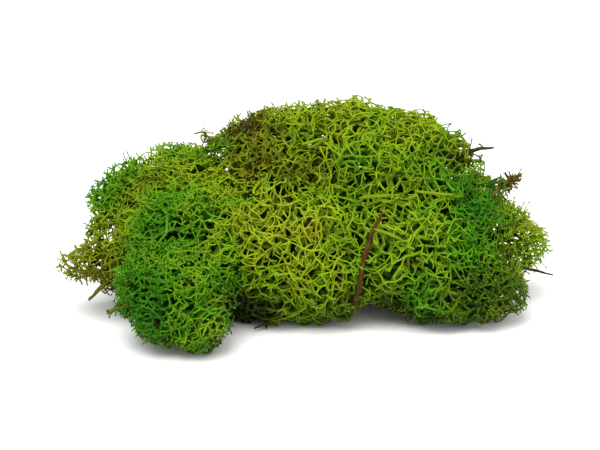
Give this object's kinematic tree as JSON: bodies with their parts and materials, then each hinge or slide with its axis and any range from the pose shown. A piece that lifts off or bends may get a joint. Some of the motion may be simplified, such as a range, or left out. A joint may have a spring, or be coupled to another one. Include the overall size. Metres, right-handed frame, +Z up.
{
  "type": "moss clump",
  "caption": "Loose clump of dried, dyed reindeer moss: springy branching tufts in lime, leaf green and olive, with bits of dead twig caught in them. Lies on a flat surface.",
  "frame": {"origin": "centre of the clump's outline, on the surface that it lies on", "axes": "+X along the clump's long way, -Y towards its front, +Z up"},
  "size_m": [0.1484, 0.0928, 0.0644],
  "materials": {
    "moss_front_left": "matt dyed lichen, slightly translucent branch tips",
    "moss_centre": "matt dyed lichen, slightly translucent branch tips",
    "moss_right_front": "matt dyed lichen, slightly translucent branch tips",
    "moss_right_end": "matt dyed lichen, slightly translucent branch tips",
    "moss_mid_left": "matt dyed lichen, slightly translucent branch tips",
    "moss_right_flank": "matt dyed lichen, slightly translucent branch tips",
    "moss_right_fringe": "matt dyed lichen, slightly translucent branch tips",
    "moss_left_wing": "matt dyed lichen, slightly translucent branch tips",
    "moss_left_shoulder": "matt dyed lichen, slightly translucent branch tips",
    "moss_crown_left": "matt dyed lichen, slightly translucent branch tips",
    "moss_crown_right": "matt dyed lichen, slightly translucent branch tips",
    "moss_back_left": "matt dyed lichen, slightly translucent branch tips",
    "moss_back_right": "matt dyed lichen, slightly translucent branch tips",
    "moss_under_front": "matt dyed lichen, slightly translucent branch tips",
    "brown_bark": "weathered reddish-brown bark, matt",
    "dead_stem": "dead lichen stem, olive brown, matt",
    "dark_twig": "dead dark twig, matt"
  },
  "bodies": {
    "root": {"front_left_tuft": "moss_front_left", "centre_tuft": "moss_centre", "right_front_tuft": "moss_right_front", "right_end_tuft": "moss_right_end", "mid_left_tuft": "moss_mid_left", "right_flank_tuft": "moss_right_flank", "right_fringe_tuft": "moss_right_fringe", "left_wing_tuft": "moss_left_wing", "left_shoulder_tuft": "moss_left_shoulder", "crown_left_tuft": "moss_crown_left", "crown_right_tuft": "moss_crown_right", "back_left_tuft": "moss_back_left", "back_right_tuft": "moss_back_right", "under_front_tuft": "moss_under_front", "front_twig": "brown_bark", "left_hanging_stem": "dead_stem", "left_stub": "dead_stem", "right_needle": "dark_twig", "upper_right_twig": "dark_twig", "right_sprig": "dead_stem", "top_left_curl": "dead_stem", "bottom_sprig": "dark_twig"}
  },
  "joints": []
}
